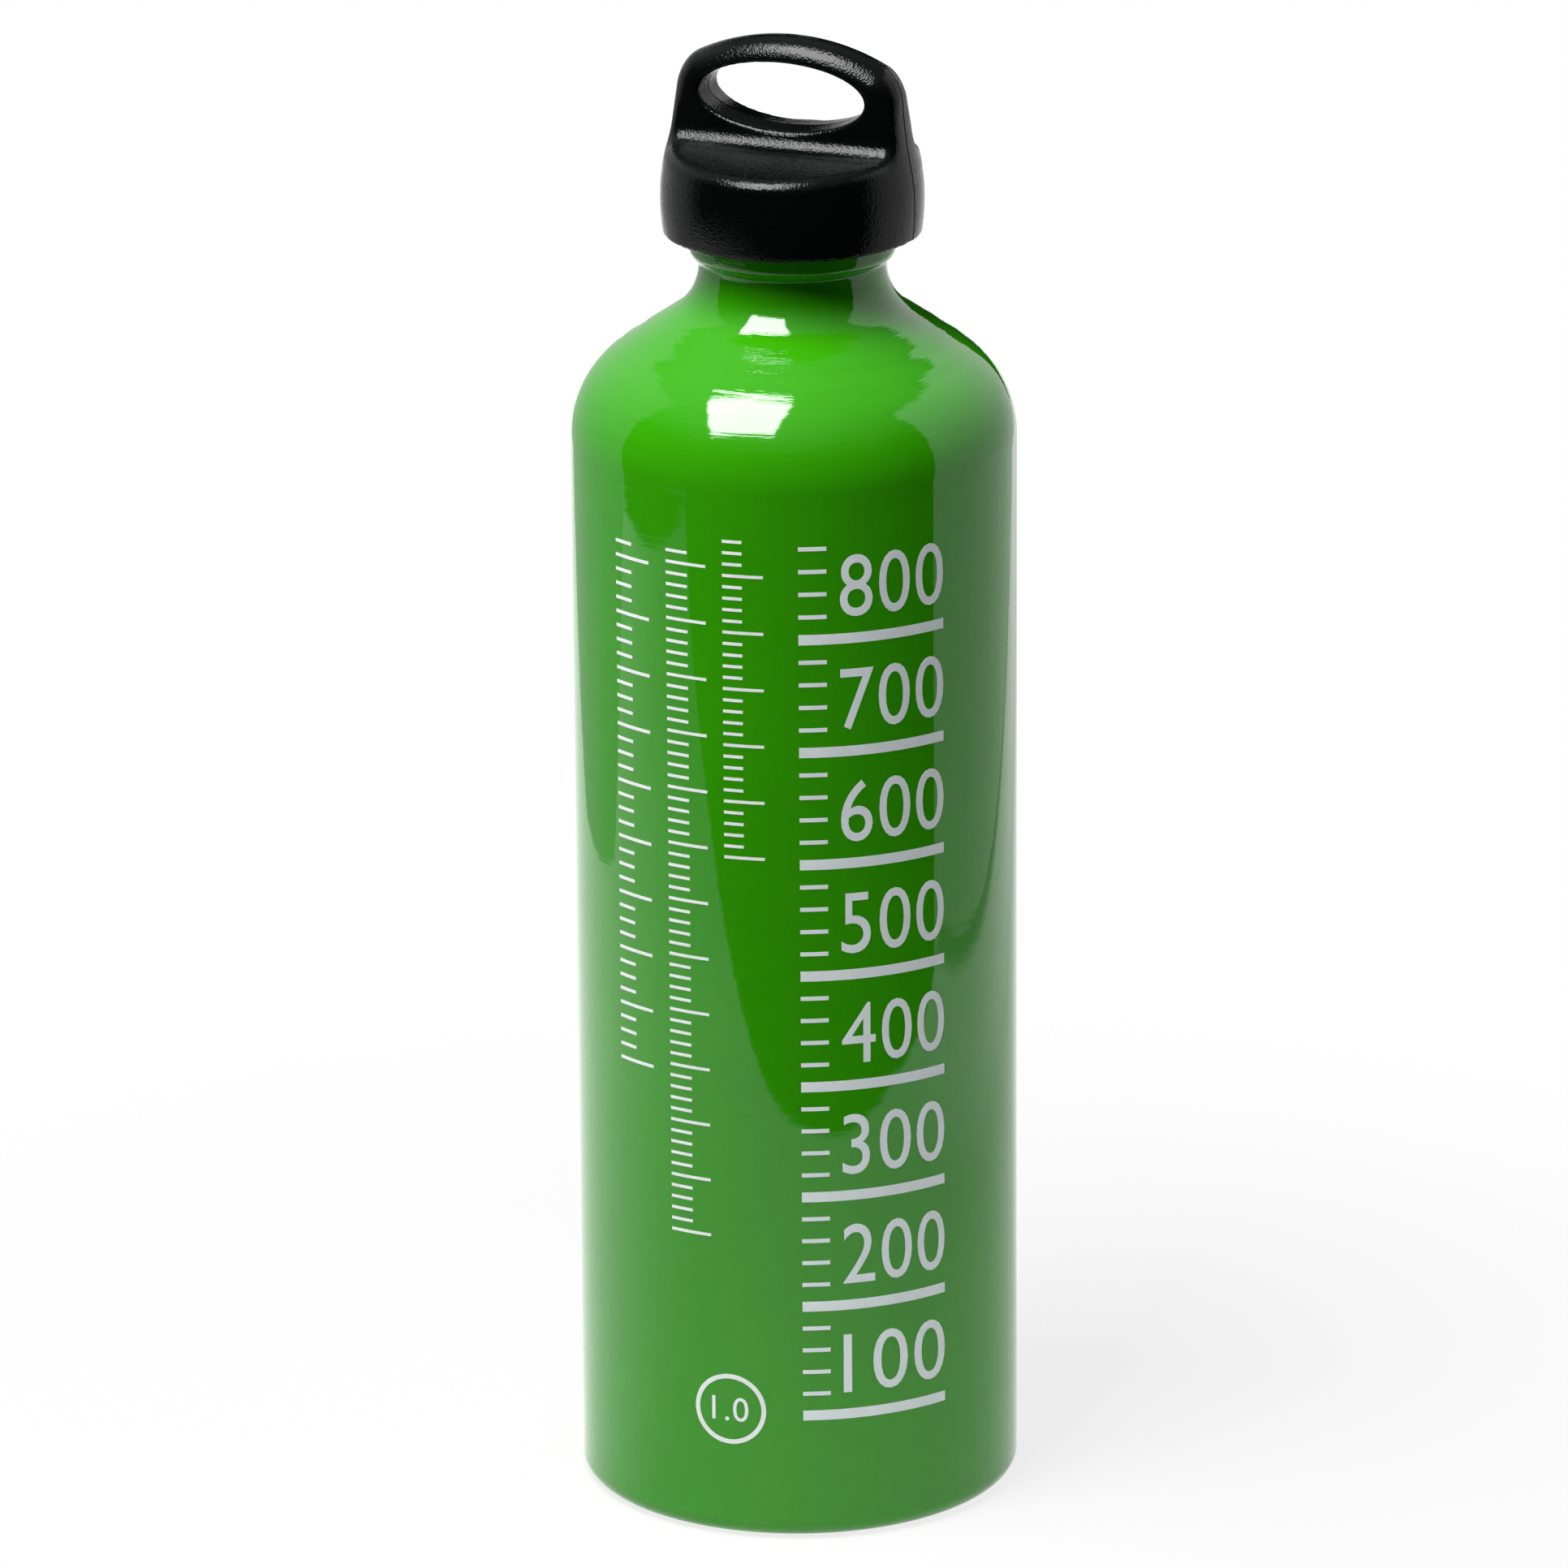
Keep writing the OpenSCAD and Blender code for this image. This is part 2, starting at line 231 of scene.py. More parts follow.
def makePlastic(name, colour, roughness, grain=0.6, parted=False):
    n = Nodes(name)
    place = n.add("TexCoord").outputs["Object"]
    fine = n.noise(place, plastic["grainScale"], 2.0, 0.55)
    cells = n.add("TexVoronoi", {"feature": "F1"}, Vector=place, Scale=2600.0).outputs["Distance"]
    broad = n.noise(place, 60.0, 3.0, 0.5)
    height = n.math("ADD", n.math("MULTIPLY", fine, 0.6), n.math("MULTIPLY", cells, 0.4))
    rough = n.math("ADD", n.math("MULTIPLY", broad, 0.10), roughness - 0.05)
    pale = tuple(min(1, c * 1.35) for c in colour[:3])
    tint = n.ramp(broad, [(0.35, colour[:3]), (0.7, pale)])
    normal = n.bump(height, grain, 0.00015)
    if parted:
        # The line where the two halves of the mould met, rough where it leaves a little flash
        across = n.math("ABSOLUTE", n.add("SeparateXYZ", None, Vector=place).outputs["Y"])
        ragged = n.math("MULTIPLY", n.noise(place, 420.0, 4.0, 0.6), plastic["lineHalf"] * 1.1)
        line = n.add("MapRange", {"interpolation_type": "SMOOTHSTEP"}, Value=n.math("ADD", across, ragged),
                     i1=plastic["lineHalf"] * 1.6, i2=plastic["lineHalf"] * 0.5, i3=0.0, i4=1.0).outputs[0]
        normal = n.bump(line, 1.0, plastic["lineHeight"], normal)
    n.surface(Base_Color=tint, Roughness=rough, Normal=normal, IOR=1.26)
    return n.material


def makeRubber():
    n = Nodes("seal_rubber")
    place = n.add("TexCoord").outputs["Object"]
    skin = n.noise(place, 700.0, 4.0, 0.6)
    tint = n.ramp(skin, [(0.3, (0.012, 0.012, 0.012)), (0.7, (0.020, 0.020, 0.019))])
    n.surface(Base_Color=tint, Roughness=n.math("ADD", n.math("MULTIPLY", skin, 0.2), 0.55),
              Normal=n.bump(skin, 0.4, 0.00006), IOR=1.50)
    return n.material


def makeSteel():
    n = Nodes("spring_wire")
    place = n.add("TexCoord").outputs["Object"]
    axes = n.add("SeparateXYZ", None, Vector=place).outputs
    away = n.math("SQRT", n.math("ADD", n.math("POWER", axes["X"], 2.0), n.math("POWER", axes["Y"], 2.0)))
    lines = n.add("CombineXYZ", None, X=n.math("MULTIPLY", away, 9000.0), Y=n.math("MULTIPLY", axes["Z"], 9000.0), Z=0.0)
    drawn = n.noise(lines.outputs[0], 0.6, 3.0, 0.6)
    tint = n.ramp(drawn, [(0.3, (0.50, 0.50, 0.52)), (0.7, (0.68, 0.68, 0.70))])
    n.surface(Base_Color=tint, Metallic=1.0, Roughness=n.math("ADD", n.math("MULTIPLY", drawn, 0.12), 0.24),
              Normal=n.bump(drawn, 0.3, 0.00003))
    return n.material


paintMaterial = makePaint()
aluminiumMaterial = makeAluminium()
capMaterial = makePlastic("black_moulding", plastic["colour"], plastic["roughness"], parted=True)
plugMaterial = makePlastic("plug_moulding", (0.045, 0.045, 0.050, 1), 0.42, 0.4)
rubberMaterial, steelMaterial = makeRubber(), makeSteel()
print("materials made")

# Bottle: one drawn can, in millimetres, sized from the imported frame
low, high = (np.array(c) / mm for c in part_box("bottle_shell"))
bottle = {
    "radius": (high[0] - low[0]) / 2,
    "rim": high[2],
    "wall": 1.0, "base": 1.6, "footRound": 3.5, "standWidth": 5.0, "domeHeight": 6.0,
    "shoulderRound": 19.2, "coneSlope": 35.3, "neckCurve": 10.4,
    "boreRadius": 14.1, "boreDepth": 14.6, "neckWall": 2.75, "beadWall": 4.4,
    "beadHeight": 9.5, "waistGap": 0.9, "beadRound": 2.4, "rimRound": 1.0,
    "coneAt": [0, 0.19, 0.27, 0.36, 0.5, 0.64, 0.8, 1], "coneLean": [50, 51, 55.5, 55.8, 51.8, 55.5, 55, 53.5],
    "turns": 288,
}


def wavyCone(start, end):
    # The spun cone isn't quite straight: it leans over, then eases off halfway up
    slopes = np.radians(np.interp(np.linspace(0, 1, 41), bottle["coneAt"], bottle["coneLean"]))
    steps = np.stack([-np.sin(slopes), np.cos(slopes)], 1)
    path = np.cumsum(steps, 0) - steps[0]
    span, want = path[-1], np.array(end) - start
    path = path * (np.hypot(*want) / np.hypot(*span))
    miss = want - path[-1]
    path = path + np.linspace(0, 1, len(path))[:, None] * miss
    return [tuple(point + start) for point in path[1:-1]]


def bottleProfile():
    b = bottle
    neck, bead, rim = b["boreRadius"] + b["neckWall"], b["boreRadius"] + b["beadWall"], b["rim"]
    slope = 90 - b["coneSlope"]
    waist = rim - b["beadHeight"] - b["waistGap"]
    curveX, shoulderX = neck + b["neckCurve"], b["radius"] - b["shoulderRound"]
    reach = b["shoulderRound"] + b["neckCurve"]
    shoulderZ = waist - (reach - (curveX - shoulderX) * math.cos(math.radians(slope))) / math.sin(math.radians(slope))
    stand = b["radius"] - b["footRound"] - b["standWidth"]
    domeR = (stand ** 2 + b["domeHeight"] ** 2) / (2 * b["domeHeight"])
    domeAngle = math.degrees(math.asin(stand / domeR))
    outside = arc(0, b["domeHeight"] - domeR, domeR, 90, 90 - domeAngle + 2, 14)
    outside += arc(stand, 1.2, 1.2, 215, 270, 5)
    outside += arc(b["radius"] - b["footRound"], b["footRound"], b["footRound"], -90, 0, 12)
    outside += [(b["radius"], z) for z in np.linspace(b["footRound"], shoulderZ, 14)[1:-1]]
    outside += arc(shoulderX, shoulderZ, b["shoulderRound"], 0, b["coneLean"][0], 26)
    curve = arc(curveX, waist, b["neckCurve"], 180 + b["coneLean"][-1], 180, 18)
    outside += wavyCone(outside[-1], curve[0]) + curve
    beadLow = rim - b["beadHeight"]
    outside += [(neck, beadLow - 0.25), (neck + 0.1, beadLow)]
    under = math.degrees(math.acos((neck + 0.15 - bead + b["beadRound"]) / b["beadRound"]))
    outside += arc(bead - b["beadRound"], beadLow + b["beadRound"], b["beadRound"], -under, 0, 10)
    outside += arc(bead - b["rimRound"], rim - b["rimRound"], b["rimRound"], 0, 90, 7)
    inside = [(b["boreRadius"] + 0.5, rim), (b["boreRadius"], rim - 0.5), (b["boreRadius"], rim - b["boreDepth"])]
    inside += arc(shoulderX, shoulderZ, b["shoulderRound"] - b["wall"], slope, 0, 16)
    innerFoot = b["footRound"] - b["wall"]
    inside += arc(b["radius"] - b["wall"] - innerFoot, b["base"] + innerFoot, innerFoot, 0, -90, 8)
    inside += [(stand, b["base"])] + arc(0, b["domeHeight"] - domeR + b["base"], domeR, 90 - domeAngle, 90, 10)
    return outside, inside


def makeBottle():
    outside, inside = bottleProfile()
    verts, faces = lathe(outside + inside, bottle["turns"])
    piece = newPiece("bottle_wall", verts, faces, (paintMaterial, aluminiumMaterial), 50)
    bareFrom = len(outside) - 4     # paint stops on the rounded rim
    turns = bottle["turns"]
    rows = len(outside) + len(inside) - 2
    for polygon in piece.data.polygons:
        row = min(polygon.vertices) // turns
        pole = max(polygon.vertices) >= rows * turns
        bare = row >= bareFrom and not pole or pole and max(polygon.vertices) == rows * turns + 1
        polygon.material_index = 1 if bare else 0
    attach(piece, "bottle")
    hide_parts("bottle_shell")
    return piece


bottleWall = makeBottle()
print("bottle made:", len(bottleWall.data.polygons), "faces")

# Printing on the wall: a fill scale with its numbers, three ruled columns and a ring
printing = {
    "proud": 0.05, "sunk": 0.08, "strip": 1.5,
    "scaleAt": 22.9, "scaleWidth": 28.0,       # degrees round from the handle's front; the rest in mm
    "firstMark": 24.0, "hundred": 20.9, "marks": 8, "markThick": 1.9,
    "fineEvery": 4.18, "fineLength": 5.0, "fineThick": 0.75,
    "numberHeight": 11.4, "numberWidth": 20.6, "numberGap": 3.0, "numberBold": 0.0,
    "ringAt": 3.7, "ringHeight": 24.6, "ringRadius": 6.7, "ringWidth": 0.85, "ringNumber": 4.6,
    "grey": (0.84, 0.91, 0.92, 1), "white": (0.90, 0.94, 0.92, 1),
}
# name: degrees round, first height, pitch, ticks, tick length, long tick length, long tick every, thickness
ruledColumns = {
    "fine_rule_long": (-12.6, 57.6, 2.09, 62, 4.4, 8.0, 5, 0.55),
    "fine_rule_middle": (-30.2, 87.5, 2.62, 38, 4.2, 8.4, 4, 0.6),
    "fine_rule_short": (3.4, 129.5, 2.09, 29, 3.6, 7.4, 5, 0.55),
}


def makeInk(name, colour):
    n = Nodes(name)
    place = n.add("TexCoord").outputs["Object"]
    cover = n.noise(place, 260.0, 4.0, 0.6)
    tint = n.ramp(cover, [(0.25, tuple(c * 0.94 for c in colour[:3])), (0.6, colour[:3])])
    n.surface(Base_Color=tint, Roughness=n.math("ADD", n.math("MULTIPLY", cover, 0.12), 0.30),
              Normal=n.bump(n.noise(place, 900.0, 2.0, 0.5), 0.05, 0.00003), IOR=1.48)
    return n.material


def textOutline(text, height, width, bold):
    # Flat letters as a mesh, scaled to a height and a width, their lower left corner at the origin
    data = bpy.data.curves.new("digits", "FONT")
    data.body, data.size, data.resolution_u, data.offset = text, 1.0, 5, bold
    data.space_character = 1.06
    holder = bpy.data.objects.new("digits", data)
    bpy.context.collection.objects.link(holder)
    bpy.context.view_layer.update()
    flat = bpy.data.meshes.new_from_object(holder.evaluated_get(bpy.context.evaluated_depsgraph_get()))
    co = np.array([v.co[:2] for v in flat.vertices])
    low, size = co.min(0), np.ptp(co, 0)
    co = (co - low) / size * np.array([width or size[0] / size[1] * height, height])
    faces = [tuple(p.vertices) for p in flat.polygons]
    bpy.data.objects.remove(holder)
    bpy.data.curves.remove(data)
    bpy.data.meshes.remove(flat)
    return co, faces


def ringOutline(radius, width, steps=96):
    turn = np.arange(steps) * 2 * math.pi / steps
    unit = np.stack([np.cos(turn), np.sin(turn)], 1)
    co = np.concatenate([unit * radius, unit * (radius - width)])
    return co, [(i, (i + 1) % steps, steps + (i + 1) % steps, steps + i) for i in range(steps)]


def wrapPrint(name, shapes, degrees, material):
    # Cuts flat shapes into narrow strips, bends them round the wall and gives them the ink's thickness
    bm = bmesh.new()
    for co, faces in shapes:
        verts = [bm.verts.new((x, y, 0)) for x, y in co]
        for face in faces:
            bm.faces.new([verts[i] for i in face])
    bmesh.ops.remove_doubles(bm, verts=bm.verts, dist=0.02)
    bmesh.ops.dissolve_degenerate(bm, dist=0.001, edges=bm.edges)
    bm.normal_update()
    # The font's fill can leave a sliver folded back over its neighbours
    bmesh.ops.delete(bm, geom=[f for f in bm.faces if f.normal.z < 0], context="FACES")
    xs = [v.co.x for v in bm.verts]
    for x in np.arange(min(xs) + 0.02, max(xs), printing["strip"]):
        bmesh.ops.bisect_plane(bm, geom=bm.verts[:] + bm.edges[:] + bm.faces[:], plane_co=(x, 0, 0), plane_no=(1, 0, 0), dist=0.001)
    bm.verts.index_update()
    flat = np.array([v.co[:2] for v in bm.verts])
    faces = [[v.index for v in f.verts] for f in bm.faces]
    bm.free()
    angle = math.radians(degrees) + flat[:, 0] / bottle["radius"]
    verts = []
    for lift in (printing["proud"], -printing["sunk"]):
        r = bottle["radius"] + lift
        verts.append(np.stack([r * np.sin(angle), -r * np.cos(angle), flat[:, 1]], 1))
    count = len(flat)
    edges = {}
    for face in faces:
        for a, b in zip(face, face[1:] + face[:1]):
            edges[(a, b)] = True
    rims = [(a, a + count, b + count, b) for a, b in edges if (b, a) not in edges]
    under = [[i + count for i in reversed(face)] for face in faces]
    piece = newPiece(name, np.concatenate(verts), faces + under + rims, (material,), 30)
    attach(piece, "bottle")
    return piece


class Grower:
    # A geometry node tree with named inputs, which ends in real faces with their material
    def __init__(self, name, **inputs):
        self.tree = bpy.data.node_groups.new(name, "GeometryNodeTree")
        for kind, names in inputs.items():
            for label in names:
                self.tree.interface.new_socket(label, in_out="INPUT", socket_type="NodeSocket" + kind)
        self.tree.interface.new_socket("Geometry", in_out="OUTPUT", socket_type="NodeSocketGeometry")
        self.given = self.add("NodeGroupInput")

    def add(self, kind, settings=None, **inputs):
        node = self.tree.nodes.new(kind)
        for key, value in (settings or {}).items():
            setattr(node, key, value)
        for key, value in inputs.items():
            socket = node.inputs[int(key[1:]) if key[0] == "i" and key[1:].isdigit() else key.replace("_", " ")]
            if isinstance(value, bpy.types.NodeSocket):
                self.tree.links.new(value, socket)
            else:
                socket.default_value = value
        return node.outputs

    def calc(self, operation, a, b=0.0, c=0.0):
        return self.add("ShaderNodeMath", {"operation": operation}, i0=a, i1=b, i2=c)[0]

    def vector(self, **parts):
        return self.add("ShaderNodeCombineXYZ", None, **parts)[0]

    def end(self, geometry, material):
        solid = self.add("GeometryNodeRealizeInstances", None, Geometry=geometry)[0]
        dressed = self.add("GeometryNodeSetMaterial", None, Geometry=solid, Material=material)[0]
        self.tree.links.new(dressed, self.tree.nodes.new("NodeGroupOutput").inputs[0])
        return self.tree


def makeTickTree():
    # A ruled column: ticks one above the other, a longer one at every so many, bent round the wall
    g = Grower("ruled_column", Int=("Ticks", "Long Every"), Float=("Pitch", "First Height", "Length", "Long Length",
               "Thickness", "Depth", "Radius", "Angle"), Material=("Ink",))
    add, calc, given = g.add, g.calc, g.given
    start = add("ShaderNodeCombineXYZ", None, Z=given["First Height"])[0]
    step = add("ShaderNodeCombineXYZ", None, Z=given["Pitch"])[0]
    line = add("GeometryNodeMeshLine", None, Count=given["Ticks"], Start_Location=start, Offset=step)[0]
    left = calc("FLOORED_MODULO", add("GeometryNodeInputIndex")[0], given["Long Every"])
    isLong = calc("LESS_THAN", left, 0.5)
    length = calc("ADD", given["Length"], calc("MULTIPLY", isLong, calc("SUBTRACT", given["Long Length"], given["Length"])))
    shift = add("ShaderNodeCombineXYZ", None, X=calc("MULTIPLY", length, 0.5))[0]
    points = add("GeometryNodeSetPosition", None, Geometry=line, Offset=shift)[0]
    size = add("ShaderNodeCombineXYZ", None, X=1.0, Y=given["Depth"], Z=given["Thickness"])[0]
    bar = add("GeometryNodeMeshCube", None, Size=size, Vertices_X=10)["Mesh"]
    scale = add("ShaderNodeCombineXYZ", None, X=length, Y=1.0, Z=1.0)[0]
    drawn = calc("GREATER_THAN", length, 0.0)
    ticks = add("GeometryNodeInstanceOnPoints", None, Points=points, Instance=bar, Scale=scale, Selection=drawn)[0]
    solid = add("GeometryNodeRealizeInstances", None, Geometry=ticks)[0]
    place = add("ShaderNodeSeparateXYZ", None, i0=add("GeometryNodeInputPosition")[0])
    angle = calc("ADD", given["Angle"], calc("DIVIDE", place["X"], given["Radius"]))
    radius = calc("ADD", given["Radius"], place["Y"])
    bent = add("ShaderNodeCombineXYZ", None, X=calc("MULTIPLY", radius, calc("SINE", angle)),
               Y=calc("MULTIPLY", calc("MULTIPLY", radius, calc("COSINE", angle)), -1.0), Z=place["Z"])[0]
    return g.end(add("GeometryNodeSetPosition", None, Geometry=solid, Position=bent)[0], given["Ink"])


def growTree(name, tree, values, smoothAngle=30):
    # Runs a node tree on an empty object and keeps the result as a plain mesh
    seed = bpy.data.objects.new(name + "_seed", bpy.data.meshes.new(name + "_seed"))
    bpy.context.collection.objects.link(seed)
    grown = seed.modifiers.new("grow", "NODES")
    grown.node_group = tree
    sockets = {item.name: item.identifier for item in tree.interface.items_tree if item.in_out == "INPUT"}
    for key, value in values.items():
        grown[sockets[key]] = value
    bpy.context.view_layer.update()
    mesh = bpy.data.meshes.new_from_object(seed.evaluated_get(bpy.context.evaluated_depsgraph_get()))
    seed.modifiers.remove(grown)
    bpy.data.objects.remove(seed)
    mesh.name = name
    finish = mesh.materials[len(mesh.materials) - 1]
    mesh.materials.clear()
    mesh.materials.append(finish)
    mesh.polygons.foreach_set("material_index", [0] * len(mesh.polygons))
    bm = bmesh.new()
    bm.from_mesh(mesh)
    bmesh.ops.recalc_face_normals(bm, faces=bm.faces)
    bm.to_mesh(mesh)
    bm.free()
    mesh.shade_smooth()
    mesh.set_sharp_from_angle(angle=math.radians(smoothAngle))
    piece = bpy.data.objects.new(name, mesh)
    bpy.context.collection.objects.link(piece)
    return piece


def makePrints():
    q = printing
    grey, white = makeInk("grey_ink", q["grey"]), makeInk("white_ink", q["white"])
    shapes = []
    for i in range(q["marks"]):
        co, faces = textOutline(str(100 * (i + 1)), q["numberHeight"], q["numberWidth"], q["numberBold"])
        at = [q["scaleWidth"] - q["numberWidth"], q["firstMark"] + i * q["hundred"] + q["markThick"] / 2 + q["numberGap"]]
        shapes.append((co + at, faces))
    wrapPrint("scale_numbers", shapes, q["scaleAt"], grey)
    ringPlace = np.array([0, q["ringHeight"]])
    ring, ringFaces = ringOutline(q["ringRadius"], q["ringWidth"])
    one, oneFaces = textOutline("1.0", q["ringNumber"], None, q["numberBold"])
    one = one - (one.max(0) + one.min(0)) / 2
    wrapPrint("volume_ring", [(ring + ringPlace, ringFaces), (one + ringPlace, oneFaces)], q["ringAt"], white)
    tree = makeTickTree()
    depth = (q["proud"] + 0.06) * 2 * mm
    columns = {name: (*values, white) for name, values in ruledColumns.items()}
    columns["scale_marks"] = (q["scaleAt"], q["firstMark"], q["hundred"], q["marks"], q["scaleWidth"], q["scaleWidth"], 1,
                              q["markThick"], grey)
    columns["scale_fine_marks"] = (q["scaleAt"], q["firstMark"], q["fineEvery"], 40, q["fineLength"], 0.0, 5,
                                   q["fineThick"], grey)
    for name, (degrees, first, pitch, count, length, longLength, every, thick, ink) in columns.items():
        piece = growTree(name, tree, {
            "Ticks": count, "Long Every": every, "Pitch": pitch * mm, "First Height": first * mm, "Length": length * mm,
            "Long Length": longLength * mm, "Thickness": thick * mm, "Depth": depth, "Ink": ink,
            "Radius": (bottle["radius"] - 0.06) * mm, "Angle": math.radians(degrees)})
        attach(piece, "bottle")


makePrints()
print("prints made")

# Cap shell: one blended moulding, in millimetres, written as distances to its surfaces
capLow, capHigh = (np.array(c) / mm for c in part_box("cap_shell"))
cap = {
    "bottom": capLow[2], "top": capHigh[2], "radius": (capHigh[0] - capLow[0]) / 2,
    "bulge": 0.45, "collarHeight": 12.0, "endHeight": 7.5, "handleIn": 2.35, "flarePower": 1.7,
    "archRadius": 40.0, "cornerRound": 3.5, "handleHalf": 4.85,
    "ledgeFoot": 250.45, "ledgeFall": 1.6, "ledgeRound": 3.2, "edgeRound": 1.9, "archEdge": 4.6,
    "holeHalfLength": 15.5, "holeHalfHeight": 5.9, "holeRise": 9.25, "holeShift": -0.25, "holeDraft": 0.07,
    "holeRound": 0.65, "gateRadius": 1.15, "gateDepth": 0.4, "mouldStep": 0.05,
    "cavity": 20.3, "roof": 246.3, "skirtRound": 0.35,
    "snapTop": 239.7, "snapWidth": 1.0, "snapHeight": 1.6,
    "lugs": 6, "lugOut": 17.0, "lugLength": 5.0, "lugWidth": 4.0, "lugHeight": 1.7,
    "socketInner": 8.3, "socketOuter": 9.5,
    "cell": 0.5,
}


def roundBoth(a, b, r):      # the space inside both, with a rounded edge
    return np.minimum(-r, np.maximum(a, b)) + np.hypot(np.maximum(r + a, 0), np.maximum(r + b, 0))


def roundEither(a, b, r):    # the space inside either, with a fillet
    return np.maximum(r, np.minimum(a, b)) - np.hypot(np.maximum(r - a, 0), np.maximum(r - b, 0))


def bellRadius(z):
    c = cap
    h = z - c["bottom"]
    collar = c["radius"] - c["bulge"] * ((h - c["collarHeight"] / 2) / (c["collarHeight"] / 2)) ** 2
    span = c["top"] - c["bottom"] - c["endHeight"] - c["collarHeight"]
    t = np.clip((h - c["collarHeight"]) / span, 0, 1)
    flare = c["radius"] - c["handleIn"] + (c["handleIn"] - c["bulge"]) * (1 - t) ** c["flarePower"]
    blend = np.clip((h - c["collarHeight"] + 3) / 6, 0, 1)
    blend = blend * blend * (3 - 2 * blend)
    return np.where(h < c["collarHeight"] - 3, collar, np.where(h > c["collarHeight"] + 3, flare,
                    collar * (1 - blend) + flare * blend))


def capDistance(x, y, z):
    c = cap
    r = np.hypot(x, y)
    side = np.abs(y)
    bell = r - bellRadius(z) - c["mouldStep"] * np.tanh(y / 0.12)
    arch = np.hypot(x, z - (c["top"] - c["archRadius"])) - c["archRadius"]
    outline = roundBoth(bell, arch, c["cornerRound"])
    slab = side - c["handleHalf"]
    fall = c["ledgeFall"] / (c["radius"] - c["handleHalf"])
    ledge = (z - c["ledgeFoot"] + fall * (side - c["handleHalf"])) / math.hypot(1, fall)
    body = roundEither(slab, ledge, c["ledgeRound"])
    up = np.clip((z - c["ledgeFoot"] - 3) / 12, 0, 1)
    edge = c["edgeRound"] + (c["archEdge"] - c["edgeRound"]) * up * up * (3 - 2 * up)
    solid = roundBoth(outline, body, edge)
    # The oval hole widens both ways from the mould's parting plane
    halfA, halfB = (c[k] + c["holeDraft"] * side for k in ("holeHalfLength", "holeHalfHeight"))
    hz = z - c["ledgeFoot"] - c["holeRise"]
    hx = x - c["holeShift"]
    k0 = np.hypot(hx / halfA, hz / halfB)
    k1 = np.hypot(hx / halfA ** 2, hz / halfB ** 2) + 1e-9
    hole = k0 * (k0 - 1) / k1
    solid = roundBoth(solid, -hole, c["holeRound"])
    # The small dimple of the mould's gate, on top of the arch
    gate = np.sqrt(x ** 2 + y ** 2 + (z - c["top"] - c["gateRadius"] + c["gateDepth"]) ** 2) - c["gateRadius"]
    solid = roundBoth(solid, -gate, 0.2)
    solid = roundBoth(solid, c["bottom"] - z, c["skirtRound"])
    cavity = roundBoth(r - c["cavity"], z - c["roof"], 0.4)
    solid = roundBoth(solid, -cavity, 0.3)
    # Inside: the retaining ring, the drive teeth and the spring's socket
    mid = c["snapTop"] - c["snapHeight"] / 2
    ring = np.maximum(np.abs(z - mid) - c["snapHeight"] / 2, c["cavity"] - c["snapWidth"] - r)
    ring = np.maximum(ring, (c["cavity"] - c["snapWidth"] - r) * 0.6 - (z - mid) * 0.6)
    solid = np.minimum(solid, np.maximum(ring, r - c["cavity"] - 0.6))
    step = 2 * math.pi / c["lugs"]
    angle = np.arctan2(y, x)
    turned = angle - step * (np.floor(angle / step) + 0.5)
    lugX, lugY = r * np.cos(turned), r * np.sin(turned)
    lugZ = np.abs(z - c["roof"]) - c["lugHeight"]
    lug = np.maximum(np.abs(lugX - c["lugOut"] + c["lugLength"] / 2) - c["lugLength"] / 2,
                     np.abs(lugY) - c["lugWidth"] / 2)
    solid = np.minimum(solid, roundBoth(lug, lugZ, 0.3))
    socket = np.maximum(r - c["socketOuter"], c["socketInner"] - r)
    return np.minimum(solid, roundBoth(socket, lugZ, 0.25))


